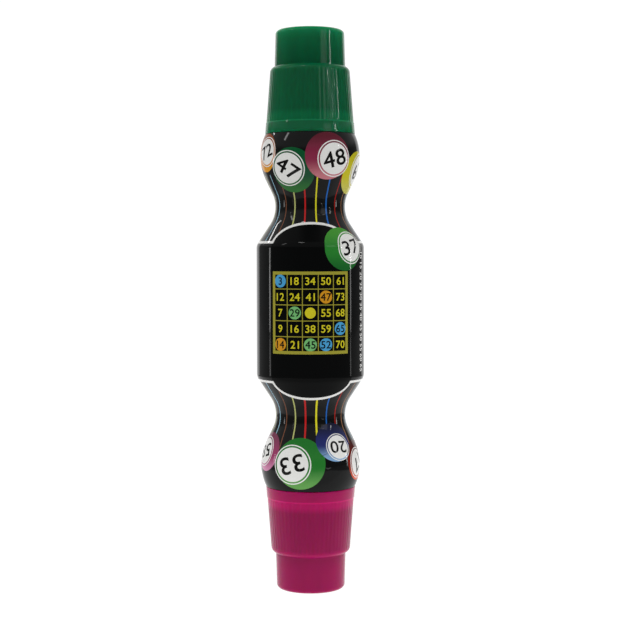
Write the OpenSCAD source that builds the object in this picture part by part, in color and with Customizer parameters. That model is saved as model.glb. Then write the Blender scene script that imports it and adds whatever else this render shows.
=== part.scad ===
// Double-ended bingo dauber: two ink bottles joined base to base in one shrink
// sleeve, with a sprung dab tip and a push-on cap at each end.
// Millimetres, +Z along the axis. The origin is the middle of the flat end of
// the magenta cap, on which the dauber stands. Both ends are the same mould, so
// each piece is drawn once, at its height u above the middle of the dauber.

/* [Body outline, over the sleeve] */
// Half of the overall length, from the middle to the flat end of a cap
half_l = 99.5; // [98.5:0.5:101]
// Radius of the straight middle barrel
barrel_r = 19.25; // [18:0.25:20]
// Radius of the finger waist
waist_r = 12.48; // [12:0.02:13]
// Height of the finger waist
waist_u = 37.15; // [36.5:0.05:38]
// Radius of the bulge next to the cap
bulge_r = 17.7; // [17:0.05:18]
// Slope from the barrel down to the waist, in degrees from the axis
barrel_slope = 33.2; // [31:0.1:35]
// Slope from the waist up to the bulge, in degrees from the axis
bulge_slope = 24.9; // [24:0.1:27]
// Height of the bottle's shoulder, where the sleeve ends
shoulder_u = 62.6; // [62:0.1:62.7]

/* [Walls] */
// Thickness of the shrink sleeve
sleeve_t = 0.2; // [0.15:0.05:0.3]
// Thickness of the blow-moulded bottle
bottle_t = 1.2; // [1:0.1:1.4]
// Thickness of the moulded cap
cap_t = 1.15; // [1:0.05:1.2]

/* [Cap] */
// Outer radius of the cap's mouth
cap_mouth_r = 16; // [15.8:0.05:16.1]
// Height of the cap's mouth
cap_mouth_u = 62.8; // [62.75:0.05:63]
// Height of the cap's step
cap_step_u = 86.7; // [86.5:0.1:87]
// Outer radius of the cap's small end at the step
cap_small_r = 12.56; // [12.4:0.02:12.6]
// Radius that the fluted skirt loses for each millimetre of height
skirt_draft = 0.077; // [0.07:0.001:0.078]
// Radius that the small end loses for each millimetre of height
small_draft = 0.03; // [0.02:0.002:0.04]
// Height of the plain band below the grip flutes
cap_band_h = 4; // [3.5:0.1:4.5]
// How far the plain band stands out from the fluted skirt
band_proud = 0.2; // [0.15:0.05:0.3]
// Number of grip flutes round the cap
flute_count = 60; // [48:4:64]
// Depth of the grip flutes
flute_depth = 0.2; // [0.15:0.05:0.25]

/* [Dab tip] */
// Radius of the cloth-covered tip
tip_r = 9.85; // [9.6:0.05:9.9]
// Height of the middle of the tip's face
tip_face_u = 92.6; // [92:0.1:93]
// Thickness of the tip's cloth cover
cloth_t = 0.5; // [0.4:0.05:0.55]
// Travel of the tip when it is pressed
tip_travel = 2; // [1:0.5:2]

/* [Hidden] */
$fn = 96;

sleeve_black = "#121314";
natural_white = "#e9e7df";
cap_green = "#0e4c2f";
cap_magenta = "#8c1f50";
ink_green = "#127a45";
ink_magenta = "#b0155f";
steel_grey = "#b9bcc0";

// Curves of the body's outline
arc_steps = 8;            // straight steps to a curve
barrel_edge_r = 3.6;      // where the barrel meets its slope
waist_low_r = 11.4;       // waist, on the barrel's side
waist_high_r = 10.6;      // waist, on the bulge's side
bulge_low_r = 20.5;       // bulge, on the waist's side
bulge_high_r = 17.5;      // bulge, on the cap's side

// Bottle base, and the joiner that plugs into both bases
web_half = 0.5;           // half the thickness of the joiner's web
web_r = 18.3;
base_edge = 1;            // chamfer of the bottle's base
socket_r = 14.35;         // socket in the bottle's base
socket_h = 6;
plug_r = 14.3;            // rim that plugs into the socket
plug_t = 1.5;
plug_h = 5.4;
spoke_count = 6;
spoke_t = 1;
spoke_h = 3.6;

// Neck of the bottle
neck_r = 13;              // below the collar
neck_top_r = 12.4;        // inside the collar
neck_bore_r = 11.6;
neck_foot_u = 61.4;       // where the bore meets the shoulder
neck_step_u = 72;
neck_rim_u = 76;
snap_ring_r = 13.65;      // ring that the cap's bead snaps behind
snap_ring_u = 69;
snap_ring_h = 1.9;

// Cap
band_draft = 0.067;       // radius that the band loses for each millimetre
band_edge = 0.12;         // chamfer at the top of the band
step_edge_r = 2.2;        // rounding at the top of the skirt
end_edge_r = 1.5;         // rounding of the closed end
cap_end_t = 1.4;          // thickness of the closed end and of the step
corner_fill = 0.6;        // chamfer in the skirt's inner corner
bead_r = 13.75;           // inner radius of the snap bead
bead_u = 67.2;
bead_h = 1.8;
bead_ramp = 0.5;
seal_fin_r = 11.35;       // fin that closes on the collar
seal_fin_t = 0.7;
seal_fin_h = 1.2;
flute_r = 0.8;            // cutter that makes a flute

// Tip housing, which plugs the neck and carries the valve seat
housing_foot_u = 61.5;
housing_r = 11.55;
housing_bore_r = 10.3;
lead_in = 1;              // taper of the housing's foot
flange_t = 1.4;
deck_u = 73;              // underside of the deck that holds the seat
deck_t = 1.4;
seat_throat_r = 3.4;
seat_mouth_r = 4.45;
seat_lip_h = 0.6;         // how far the seat hangs below the deck
seat_h = 1;               // height of the seat's cone
tower_r = 8.9;
tower_bore_r = 7.5;
tower_top_u = 82;
clip_groove_r = 10.7;     // groove that holds the spring retainer
clip_groove_u = 62.1;
clip_groove_h = 1.4;

// Collar, which clamps the cloth's edge and snaps over the neck
collar_r = 13.3;
collar_skirt_bore_r = 12.45;
collar_foot_u = 72.3;
collar_top_u = 84;
collar_top_r = 11.8;
collar_bore_r = 10;
collar_edge_r = 0.8;

// Cloth and foam
tip_edge_r = 2.4;
tip_crown = 0.9;          // rise of the tip's face from its edge to its middle
foam_gap = 0.1;           // between the foam and the cloth
foam_hollow_r = 7.3;      // hollow under the foam, over the valve's button

// Valve, spring and retainer
hole_count = 6;
button_r = 6.6;
button_u = 82.3;
button_t = 1.2;
button_hole_r = 0.9;
button_hole_ring = 4.4;
stem_r = 1.5;
fin_r = 3.1;
fin_t = 0.9;
seal_gap = 0.06;          // running clearance of the poppet in its seat
poppet_h = 2;             // from the poppet's underside to the deck's
poppet_rim = 0.2;
poppet_boss_r = 2.3;
poppet_boss_h = 1.6;
spring_r = 3.1;           // to the middle of the wire
wire_r = 0.35;
spring_turns = 5;
wire_sides = 6;
turn_steps = 14;          // rings of points to a turn of the spring
seating_gap = 0.05;
retainer_r = 10.65;
retainer_t = 1.2;
retainer_hole_r = 1.9;
retainer_hole_ring = 6.9;
retainer_boss_h = 1.2;

flange_u = neck_rim_u + flange_t;
seat_foot_u = deck_u - seat_lip_h;
poppet_u = deck_u - poppet_h;
retainer_u = clip_groove_u + 0.1;
retainer_top_u = retainer_u + retainer_t;
step_floor_u = cap_step_u - cap_end_t;
end_floor_u = half_l - cap_end_t;

// Points of an arc about [cr, cu] in [radius, height], from angle a0 to a1
function arc(cr, cu, r, a0, a1) =
    [for (i = [0:arc_steps]) let (a = a0 + (a1 - a0) * i / arc_steps) [cr + r * cos(a), cu + r * sin(a)]];
// The same arc without its first point, where it carries on from another
function arc_on(cr, cu, r, a0, a1) =
    let (p = arc(cr, cu, r, a0, a1)) [for (i = [1:arc_steps]) p[i]];
// A list of points turned end for end, moved in by d, and turned over about the middle
function reverse(p) = [for (i = [len(p) - 1:-1:0]) p[i]];
function inset(p, d) = [for (q = p) [q[0] - d, q[1]]];
function turned_over(p) = [for (q = reverse(p)) [q[0], -q[1]]];

// Where the straight slopes of the body meet its curves
low_slope_r = waist_r + waist_low_r * (1 - cos(barrel_slope));
low_slope_u = waist_u - waist_low_r * sin(barrel_slope);
barrel_half = low_slope_u - (barrel_r - low_slope_r) / tan(barrel_slope);
barrel_edge_u = barrel_half - barrel_edge_r * tan(barrel_slope / 2);
high_slope_r = waist_r + waist_high_r * (1 - cos(bulge_slope));
high_slope_u = waist_u + waist_high_r * sin(bulge_slope);
slope_rise = bulge_r - bulge_low_r * (1 - cos(bulge_slope)) - high_slope_r;
bulge_u = high_slope_u + slope_rise / tan(bulge_slope) + bulge_low_r * sin(bulge_slope);
shoulder_angle = asin((shoulder_u - bulge_u) / bulge_high_r);

// Outline of one half of the body, from the barrel up to the shoulder
outline = concat(
    arc(barrel_r - barrel_edge_r, barrel_edge_u, barrel_edge_r, 0, barrel_slope),
    arc(waist_r + waist_low_r, waist_u, waist_low_r, 180 + barrel_slope, 180),
    arc_on(waist_r + waist_high_r, waist_u, waist_high_r, 180, 180 - bulge_slope),
    arc(bulge_r - bulge_low_r, bulge_u, bulge_low_r, -bulge_slope, 0),
    arc_on(bulge_r - bulge_high_r, bulge_u, bulge_high_r, 0, shoulder_angle)
);

// Outer radius of the cap's skirt, of its small end and of the valve seat, at a height
band_top_u = cap_mouth_u + cap_band_h;
band_top_r = cap_mouth_r - band_draft * cap_band_h;
function skirt_r(u) = band_top_r - band_proud - skirt_draft * (u - band_top_u);
function small_r(u) = cap_small_r - small_draft * (u - cap_step_u);
function seat_r(u) = seat_mouth_r - (seat_mouth_r - seat_throat_r) * (u - seat_foot_u) / seat_h;

module around(n) { for (i = [0:n - 1]) rotate([0, 0, i * 360 / n]) children(); }

// One ink bottle: socketed base, barrel, finger waist, bulge and neck
module bottle() {
    shell_r = barrel_r - sleeve_t;
    base_top_u = web_half + socket_h + bottle_t;
    rotate_extrude()
        polygon(concat(
            [
                [socket_r, web_half],
                [shell_r - base_edge, web_half],
                [shell_r, web_half + base_edge]
            ],
            inset(outline, sleeve_t),
            [
                [neck_r, shoulder_u],
                [neck_r, snap_ring_u],
                [snap_ring_r, snap_ring_u + 0.3],
                [snap_ring_r, snap_ring_u + snap_ring_h / 2],
                [neck_r, snap_ring_u + snap_ring_h],
                [neck_r, neck_step_u],
                [neck_top_r, neck_step_u],
                [neck_top_r, neck_rim_u],
                [neck_bore_r, neck_rim_u],
                [neck_bore_r, neck_foot_u]
            ],
            [for (q = reverse(inset(outline, sleeve_t + bottle_t))) if (q[1] < neck_foot_u - 1) q],
            [
                [shell_r - bottle_t, web_half + bottle_t + base_edge],
                [shell_r - bottle_t - base_edge, web_half + bottle_t],
                [socket_r + bottle_t, web_half + bottle_t],
                [socket_r + bottle_t, base_top_u - 0.5],
                [socket_r + bottle_t - 0.5, base_top_u],
                [0, base_top_u],
                [0, web_half + socket_h],
                [socket_r, web_half + socket_h]
            ]
        ));
}

// Push-on cap: plain band, fluted skirt, step, small end, snap bead and sealing fin
module cap() {
    step_edge_u = cap_step_u - step_edge_r;
    step_edge_cr = skirt_r(step_edge_u) - step_edge_r;
    step_angle = acos((cap_small_r - step_edge_cr) / step_edge_r);
    end_edge_u = half_l - end_edge_r;
    bore_r = small_r(end_floor_u) - cap_t;
    bead_top_u = bead_u + bead_h;
    difference() {
        rotate_extrude()
            polygon(concat(
                [
                    [cap_mouth_r - cap_t, cap_mouth_u],
                    [cap_mouth_r, cap_mouth_u],
                    [band_top_r, band_top_u - band_edge],
                    [band_top_r - band_edge, band_top_u],
                    [skirt_r(band_top_u), band_top_u]
                ],
                arc(step_edge_cr, step_edge_u, step_edge_r, 0, step_angle),
                arc(small_r(end_edge_u) - end_edge_r, end_edge_u, end_edge_r, 0, 90),
                [
                    [0, half_l],
                    [0, end_floor_u],
                    [bore_r - 1, end_floor_u],
                    [bore_r, end_floor_u - 1],
                    [cap_small_r - cap_t, step_floor_u],
                    [seal_fin_r, step_floor_u],
                    [seal_fin_r, step_floor_u - seal_fin_h],
                    [seal_fin_r + seal_fin_t, step_floor_u - seal_fin_h],
                    [seal_fin_r + seal_fin_t, step_floor_u],
                    [skirt_r(step_floor_u) - cap_t - corner_fill, step_floor_u],
                    [skirt_r(step_floor_u) - cap_t, step_floor_u - corner_fill],
                    [skirt_r(bead_top_u) - cap_t, bead_top_u + bead_ramp],
                    [bead_r, bead_top_u],
                    [bead_r, bead_u + bead_ramp],
                    [skirt_r(bead_u) - cap_t, bead_u - bead_ramp]
                ]
            ));
        around(flute_count)
            translate([skirt_r(band_top_u) + flute_r - flute_depth, 0, band_top_u])
                rotate([0, -atan(skirt_draft), 0])
                    cylinder(r = flute_r, h = half_l - band_top_u);
    }
}

// Plug in the neck, with the valve seat in its deck and the tower under the foam
module tip_housing() {
    rotate_extrude()
        polygon([
            [housing_bore_r, housing_foot_u],
            [housing_r - lead_in / 2, housing_foot_u],
            [housing_r, housing_foot_u + lead_in],
            [housing_r, neck_rim_u],
            [neck_top_r, neck_rim_u],
            [neck_top_r, flange_u],
            [tower_r, flange_u],
            [tower_r, tower_top_u - 0.5],
            [tower_r - 0.5, tower_top_u],
            [tower_bore_r, tower_top_u],
            [tower_bore_r, deck_u + deck_t],
            [seat_throat_r, deck_u + deck_t],
            [seat_throat_r, seat_foot_u + seat_h],
            [seat_mouth_r, seat_foot_u],
            [seat_mouth_r + 1, seat_foot_u],
            [seat_mouth_r + 1, deck_u],
            [housing_bore_r, deck_u],
            [housing_bore_r, clip_groove_u + clip_groove_h + 0.4],
            [clip_groove_r, clip_groove_u + clip_groove_h],
            [clip_groove_r, clip_groove_u],
            [housing_bore_r, clip_groove_u]
        ]);
}

// Ring that snaps over the neck and clamps the cloth's edge
module tip_collar() {
    rotate_extrude()
        polygon(concat(
            [
                [collar_skirt_bore_r, collar_foot_u],
                [collar_r - 0.3, collar_foot_u],
                [collar_r, collar_foot_u + 0.5],
                [collar_r, flange_u]
            ],
            arc(collar_top_r - collar_edge_r, collar_top_u - collar_edge_r, collar_edge_r, 0, 90),
            [
                [collar_bore_r + 0.4, collar_top_u],
                [collar_bore_r, collar_top_u - 0.6],
                [collar_bore_r, flange_u],
                [collar_skirt_bore_r, flange_u]
            ]
        ));
}

// Solid tip with a rounded edge and a crowned face, from foot_u up
module tip_solid(r, face_u, foot_u, edge_r) {
    crown_r = (r * r + tip_crown * tip_crown) / (2 * tip_crown);
    intersection() {
        rotate_extrude()
            polygon(concat(
                [[0, foot_u], [r, foot_u]],
                arc(r - edge_r, face_u - edge_r, edge_r, 0, 90),
                [[0, face_u]]
            ));
        translate([0, 0, face_u - crown_r]) sphere(r = crown_r);
    }
}

// Woven cloth over the foam. Its hem clears the flange when the tip is pressed.
module tip_cover() {
    hem_u = flange_u + 0.2 + tip_travel;
    difference() {
        tip_solid(tip_r, tip_face_u, hem_u, tip_edge_r);
        tip_solid(tip_r - cloth_t, tip_face_u - cloth_t, hem_u - 1, tip_edge_r - cloth_t);
    }
}

// Open-cell foam pad on the tower, hollowed over the valve's button
module tip_foam() {
    shrink = cloth_t + foam_gap;
    difference() {
        tip_solid(tip_r - shrink, tip_face_u - shrink, tower_top_u, tip_edge_r - shrink);
        translate([0, 0, tower_top_u - 1])
            cylinder(r = foam_hollow_r, h = button_u + button_t + seating_gap - tower_top_u + 1);
    }
}

// Plunger: perforated button under the foam, finned stem and sealing poppet
module valve() {
    stem_h = button_u - deck_u + 0.3;
    cone_top_u = seat_foot_u + 0.75 * seat_h;
    difference() {
        translate([0, 0, button_u]) cylinder(r = button_r, h = button_t);
        around(hole_count)
            translate([button_hole_ring, 0, button_u - 1])
                cylinder(r = button_hole_r, h = button_t + 2);
    }
    translate([0, 0, deck_u]) cylinder(r = stem_r, h = stem_h);
    for (turn = [0, 90])
        rotate([0, 0, turn])
            translate([-fin_r, -fin_t / 2, deck_u])
                cube([2 * fin_r, fin_t, stem_h]);
    rotate_extrude()
        polygon([
            [0, poppet_u - poppet_boss_h],
            [poppet_boss_r, poppet_u - poppet_boss_h],
            [poppet_boss_r, poppet_u],
            [seat_mouth_r + poppet_rim, poppet_u],
            [seat_mouth_r + poppet_rim, seat_foot_u - 0.4],
            [seat_r(seat_foot_u) - seal_gap, seat_foot_u - 0.1],
            [seat_r(cone_top_u) - seal_gap, cone_top_u - 0.1],
            [0, cone_top_u - 0.1]
        ]);
}

// Middle of the spring's wire, as a height and as a point, a share t of the way up
spring_low_u = retainer_top_u + wire_r + seating_gap;
spring_high_u = poppet_u - wire_r - seating_gap;
function wire_u(t) = spring_low_u + (spring_high_u - spring_low_u) * t;
function wire_mid(t) = let (a = 360 * spring_turns * t) [spring_r * cos(a), spring_r * sin(a), wire_u(t)];

// Least gap between turns, measured on points of the wire more than half a turn apart
spring_rings = spring_turns * turn_steps;
spring_gap = min([
    for (i = [0:spring_rings], j = [i + turn_steps / 2:spring_rings])
        norm(wire_mid(i / spring_rings) - wire_mid(j / spring_rings)) - 2 * wire_r
]);
echo(spring_gap = spring_gap);

// Coil spring between the retainer and the poppet, as one swept tube
module valve_spring() {
    climb = atan((spring_high_u - spring_low_u) / spring_turns / (2 * PI * spring_r));
    points = [
        for (i = [0:spring_rings], k = [0:wire_sides - 1])
            let (
                a = 360 * i / turn_steps,
                b = 360 * k / wire_sides,
                out = wire_r * cos(b),
                up = wire_r * sin(b)
            )
            wire_mid(i / spring_rings) + [
                out * cos(a) + up * sin(climb) * sin(a),
                out * sin(a) - up * sin(climb) * cos(a),
                up * cos(climb)
            ]
    ];
    last = spring_rings * wire_sides;
    sides = [
        for (i = [0:spring_rings - 1], k = [0:wire_sides - 1])
            let (a = i * wire_sides + k, b = i * wire_sides + (k + 1) % wire_sides)
            each [[a, a + wire_sides, b + wire_sides], [a, b + wire_sides, b]]
    ];
    ends = [for (k = [1:wire_sides - 2]) each [[0, k, k + 1], [last, last + k + 1, last + k]]];
    polyhedron(points = points, faces = concat(sides, ends));
}

// Perforated disc clipped into the housing, with a boss that centres the spring
module spring_retainer() {
    difference() {
        union() {
            translate([0, 0, retainer_u]) cylinder(r = retainer_r, h = retainer_t);
            translate([0, 0, retainer_u])
                cylinder(r = poppet_boss_r, h = retainer_t + retainer_boss_h);
        }
        around(hole_count)
            translate([retainer_hole_ring, 0, retainer_u - 1])
                cylinder(r = retainer_hole_r, h = retainer_t + 2);
    }
}

// The two ends of the dauber: the green end points up and the magenta end down
module green_end() { translate([0, 0, half_l]) children(); }
module magenta_end() { translate([0, 0, half_l]) rotate([180, 0, 0]) children(); }

// The printed film shrunk over both bottles
module label_sleeve() {
    whole = concat(turned_over(outline), outline);
    color(sleeve_black)
        translate([0, 0, half_l])
            rotate_extrude()
                polygon(concat(whole, reverse(inset(whole, sleeve_t))));
}

// Ring-shaped plug that holds the two bottle bases together
module bottle_joiner() {
    color(natural_white)
        translate([0, 0, half_l]) {
            rotate_extrude() {
                translate([0, -web_half]) square([web_r, 2 * web_half]);
                translate([plug_r - plug_t, -web_half - plug_h])
                    square([plug_t, 2 * (web_half + plug_h)]);
            }
            around(spoke_count)
                translate([0, -spoke_t / 2, -web_half - spoke_h])
                    cube([plug_r - plug_t / 2, spoke_t, 2 * (web_half + spoke_h)]);
        }
}

module green_bottle() { color(natural_white) green_end() bottle(); }
module green_cap() { color(cap_green) green_end() cap(); }
module green_tip_housing() { color(natural_white) green_end() tip_housing(); }
module green_tip_collar() { color(natural_white) green_end() tip_collar(); }
module green_tip_cover() { color(ink_green) green_end() tip_cover(); }
module green_tip_foam() { color(ink_green) green_end() tip_foam(); }
module green_valve() { color(natural_white) green_end() valve(); }
module green_valve_spring() { color(steel_grey) green_end() valve_spring(); }
module green_spring_retainer() { color(natural_white) green_end() spring_retainer(); }

module magenta_bottle() { color(natural_white) magenta_end() bottle(); }
module magenta_cap() { color(cap_magenta) magenta_end() cap(); }
module magenta_tip_housing() { color(natural_white) magenta_end() tip_housing(); }
module magenta_tip_collar() { color(natural_white) magenta_end() tip_collar(); }
module magenta_tip_cover() { color(ink_magenta) magenta_end() tip_cover(); }
module magenta_tip_foam() { color(ink_magenta) magenta_end() tip_foam(); }
module magenta_valve() { color(natural_white) magenta_end() valve(); }
module magenta_valve_spring() { color(steel_grey) magenta_end() valve_spring(); }
module magenta_spring_retainer() { color(natural_white) magenta_end() spring_retainer(); }

label_sleeve();
bottle_joiner();

green_bottle();
green_cap();
green_tip_housing();
green_tip_collar();
green_tip_cover();
green_tip_foam();
green_valve();
green_valve_spring();
green_spring_retainer();

magenta_bottle();
magenta_cap();
magenta_tip_housing();
magenta_tip_collar();
magenta_tip_cover();
magenta_tip_foam();
magenta_valve();
magenta_valve_spring();
magenta_spring_retainer();
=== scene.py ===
# %% [markdown]
# # A double-ended bingo dauber
#
# The real thing is two ink bottles joined base to base, in one glossy printed
# sleeve of shrink film, with a translucent push-on cap at each end. The CAD
# model already has every solid in its place. This lesson dresses it: the
# printed film, the moulded plastics, the cloth, foam and springs under the
# caps, and a small studio.
#
# All sizes are written in millimetres, because that is how such a thing is
# measured, and are turned into Blender's metres as late as possible.

import math

import bmesh
import bpy
import numpy as np
from mathutils import Matrix


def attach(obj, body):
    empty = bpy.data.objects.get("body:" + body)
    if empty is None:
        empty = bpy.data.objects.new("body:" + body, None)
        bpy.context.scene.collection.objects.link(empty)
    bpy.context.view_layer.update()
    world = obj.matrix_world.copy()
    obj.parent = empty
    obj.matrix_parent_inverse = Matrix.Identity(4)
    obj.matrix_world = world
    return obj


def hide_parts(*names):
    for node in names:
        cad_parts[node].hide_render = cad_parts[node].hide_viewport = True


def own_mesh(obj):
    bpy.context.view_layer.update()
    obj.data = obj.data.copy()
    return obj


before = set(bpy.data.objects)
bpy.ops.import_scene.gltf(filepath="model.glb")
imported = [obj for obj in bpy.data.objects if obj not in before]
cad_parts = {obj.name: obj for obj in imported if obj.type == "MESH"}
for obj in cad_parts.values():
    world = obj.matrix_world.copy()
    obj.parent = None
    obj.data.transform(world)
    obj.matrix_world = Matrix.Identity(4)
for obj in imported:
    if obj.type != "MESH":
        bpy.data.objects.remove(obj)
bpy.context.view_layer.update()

# %% [markdown]
# ## Small helpers
#
# Colours are given as sRGB hex values, but shaders add and multiply
# light, so they need linear numbers. The first function turns the one into the
# other. The rest add an object, a shader node with what feeds it, and a new
# material, which keeps each finish short enough to read.

# %% Colours and nodes
MM = 0.001


def linear(hex_colour, share=1.0):
    """A hex colour in linear numbers, made deeper or lighter by a share."""
    parts = [int(hex_colour[i : i + 2], 16) / 255 for i in (1, 3, 5)]
    return tuple(
        share * (c / 12.92 if c <= 0.04045 else ((c + 0.055) / 1.055) ** 2.4) for c in parts
    ) + (1.0,)


def new_object(name, data):
    made = bpy.data.objects.new(name, data)
    bpy.context.scene.collection.objects.link(made)
    return made


def add(tree, kind, sockets=None, stops=None, **settings):
    """One node: its settings, its colour stops, then a value or a link for each named socket."""
    made = tree.nodes.new(kind)
    for name, value in settings.items():
        setattr(made, name, value)
    if stops:
        elements = made.color_ramp.elements
        elements[0].position, elements[1].position = stops[0][0], stops[-1][0]
        for position, _ in stops[1:-1]:
            elements.new(position)
        for element, (_, colour) in zip(elements, stops):
            element.color = colour
    for socket, value in (sockets or {}).items():
        if isinstance(value, bpy.types.NodeSocket):
            tree.links.new(value, made.inputs[socket])
        else:
            made.inputs[socket].default_value = value
    return made


def new_finish(name, sockets, kind="ShaderNodeBsdfPrincipled"):
    """A material with one shader, whose plain numbers sit on its own sockets."""
    finish = bpy.data.materials.new(name)
    finish.use_nodes = True
    tree = finish.node_tree
    tree.nodes.clear()
    shader = add(tree, kind, sockets)
    add(tree, "ShaderNodeOutputMaterial", {"Surface": shader.outputs[0]})
    return finish, tree, shader


print("helpers ready")

# %% [markdown]
# ## The camera
#
# The dauber was photographed with a long lens from about half a metre, a
# little above its middle and tipped down by 2.4 degrees. That is why the top
# of the upper cap shows as a thin arc and the lower cap's edges curve more.

# %% Camera
SENSOR_MM, LENS_MM = 36, 85.65
CAMERA_MM = (-0.08, -527, 121.8)
LOOK_DOWN, ROLL = 2.395, 0.1  # degrees
camera_data = bpy.data.cameras.new("camera")
camera_data.sensor_width = SENSOR_MM
camera_data.lens = LENS_MM
camera = new_object("camera", camera_data)
camera.location = [c * MM for c in CAMERA_MM]
camera.rotation_mode = "XZY"
camera.rotation_euler = (math.radians(90 - LOOK_DOWN), math.radians(ROLL), 0)
bpy.context.scene.camera = camera
print("camera at", [round(c, 4) for c in camera.location])

# %% [markdown]
# ## The body's outline
#
# The film follows the bottles: a straight barrel, a finger waist and a bulge
# next to the cap, drawn as straight slopes and arcs. The CAD solid turns those
# arcs into short cones, and a glossy surface shows each one as a facet. So the
# radius is worked out here from the same sizes, but with true arcs.

# %% Outline of the body
# all in mm: u is a height from the dauber's middle, and r a radius
HALF = 99.5  # from the floor to the middle of the dauber
BARREL_R, BARREL_EDGE, BARREL_SLOPE = 19.25, 3.6, math.radians(33.2)
WAIST_R, WAIST_U, WAIST_LOW, WAIST_HIGH = 12.48, 37.15, 11.4, 10.6
BULGE_R, BULGE_LOW, BULGE_HIGH, BULGE_SLOPE = 17.7, 20.5, 17.5, math.radians(24.9)
SHOULDER_U = 62.6

low_u = WAIST_U - WAIST_LOW * math.sin(BARREL_SLOPE)
low_r = WAIST_R + WAIST_LOW * (1 - math.cos(BARREL_SLOPE))
edge_u = low_u - (BARREL_R - low_r) / math.tan(BARREL_SLOPE)
edge_u -= BARREL_EDGE * math.tan(BARREL_SLOPE / 2)
high_u = WAIST_U + WAIST_HIGH * math.sin(BULGE_SLOPE)
high_r = WAIST_R + WAIST_HIGH * (1 - math.cos(BULGE_SLOPE))
bulge_foot_r = BULGE_R - BULGE_LOW * (1 - math.cos(BULGE_SLOPE))
bulge_u = high_u + (bulge_foot_r - high_r) / math.tan(BULGE_SLOPE)
bulge_u += BULGE_LOW * math.sin(BULGE_SLOPE)


def body_radius(u):
    """Outer radius of the film at a height u above or below the dauber's middle."""
    u = abs(u)
    if u <= edge_u:
        return BARREL_R
    if u <= edge_u + BARREL_EDGE * math.sin(BARREL_SLOPE):
        return BARREL_R - BARREL_EDGE + math.sqrt(BARREL_EDGE**2 - (u - edge_u) ** 2)
    if u <= low_u:
        return low_r + (low_u - u) * math.tan(BARREL_SLOPE)
    if u <= WAIST_U:
        return WAIST_R + WAIST_LOW - math.sqrt(WAIST_LOW**2 - (u - WAIST_U) ** 2)
    if u <= high_u:
        return WAIST_R + WAIST_HIGH - math.sqrt(WAIST_HIGH**2 - (u - WAIST_U) ** 2)
    if u <= bulge_u - BULGE_LOW * math.sin(BULGE_SLOPE):
        return high_r + (u - high_u) * math.tan(BULGE_SLOPE)
    arc = BULGE_LOW if u <= bulge_u else BULGE_HIGH
    return BULGE_R - arc + math.sqrt(arc**2 - (u - bulge_u) ** 2)


OUTLINE_STEP = 0.05
HEIGHTS = np.linspace(-SHOULDER_U, SHOULDER_U, round(2 * SHOULDER_U / OUTLINE_STEP) + 1)
RADII = np.array([body_radius(u) for u in HEIGHTS])
# length of the way up along the film, which is what a flat print is laid along
WAY_UP = np.concatenate([[0], np.cumsum(np.hypot(np.diff(HEIGHTS), np.diff(RADII)))])


def radius_at(u):
    return np.interp(u, HEIGHTS, RADII)


def way_up(u):
    return np.interp(u, HEIGHTS, WAY_UP)


def height_at(way):
    return np.interp(way, WAY_UP, HEIGHTS)


print("film is", round(float(WAY_UP[-1]), 1), "mm along its outline")

# %% [markdown]
# ## The printed shrink film
#
# The film is a clear tube, printed on its inside and shrunk over both bottles
# with hot air, so every colour shines through the same glossy skin. Its surface
# is smooth but never quite even: it ripples by a few hundredths of a millimetre.
# One function makes every ink and gives all of them that skin, with a little
# mottle for the print's grain.
#
# The gloss is set lower than a real film's, and lowest on the panel, whose
# black is also a little deeper. With a real gloss, this simple studio would put
# more white into the black than the picture shows. Creases are pulled tight,
# and shine more.

# %% Film finish
FILM_GLOSS, PANEL_GLOSS, CREASE_GLOSS = 0.14, 0.05, 0.6
INK_MOTTLE, BLACK_MOTTLE = 0.06, 0.1
# in mm: the print's grain, coarser than real dots so that it shows, and the width
# and depth of the ripples, which the squeeze draws out along the dauber
GRAIN, RIPPLE, RIPPLE_DEPTH, RIPPLE_SQUEEZE = 0.5, 5.882, 0.03, 0.22


def film_ink(name, hex_colour, mottle=INK_MOTTLE, gloss=FILM_GLOSS):
    """An ink seen through the clear film: mottled a little, and glossy."""
    finish, tree, shader = new_finish(
        name, {"Roughness": 0.06, "IOR": 1.54, "Specular IOR Level": gloss}
    )
    place = add(tree, "ShaderNodeTexCoord").outputs["Object"]
    grain = add(
        tree, "ShaderNodeTexNoise", {"Vector": place, "Scale": 1 / (GRAIN * MM), "Detail": 2.0}
    )
    shade = add(
        tree,
        "ShaderNodeMapRange",
        {"Value": grain.outputs["Fac"], "To Min": 1 - mottle, "To Max": 1 + mottle},
    )
    ink = add(tree, "ShaderNodeRGB")
    ink.outputs[0].default_value = linear(hex_colour)
    tinted = add(
        tree,
        "ShaderNodeVectorMath",
        {0: ink.outputs[0], "Scale": shade.outputs["Result"]},
        operation="SCALE",
    )
    tree.links.new(tinted.outputs["Vector"], shader.inputs["Base Color"])
    ripple_film(tree, shader, place)
    return finish


def ripple_film(tree, shader, place):
    """Relief of the shrunk film: long soft ripples."""
    stretched = add(
        tree, "ShaderNodeMapping", {"Vector": place, "Scale": (1.0, 1.0, RIPPLE_SQUEEZE)}
    )
    ripple = add(
        tree,
        "ShaderNodeTexNoise",
        {"Vector": stretched.outputs["Vector"], "Scale": 1 / (RIPPLE * MM), "Detail": 1.0},
    )
    bump = add(
        tree,
        "ShaderNodeBump",
        {"Height": ripple.outputs["Fac"], "Distance": RIPPLE_DEPTH * MM, "Strength": 1.0},
    )
    tree.links.new(bump.outputs["Normal"], shader.inputs["Normal"])


BLACK = film_ink("film_black_ink", "#0f1010", BLACK_MOTTLE)
PANEL_BLACK = film_ink("film_panel_black_ink", "#0a0b0b", BLACK_MOTTLE, PANEL_GLOSS)
CREASE_BLACK = film_ink("film_crease_black_ink", "#0f1010", BLACK_MOTTLE, CREASE_GLOSS)
WHITE = film_ink("film_white_ink", "#fbfbf8")
print("film inks:", BLACK.name, WHITE.name)

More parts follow.
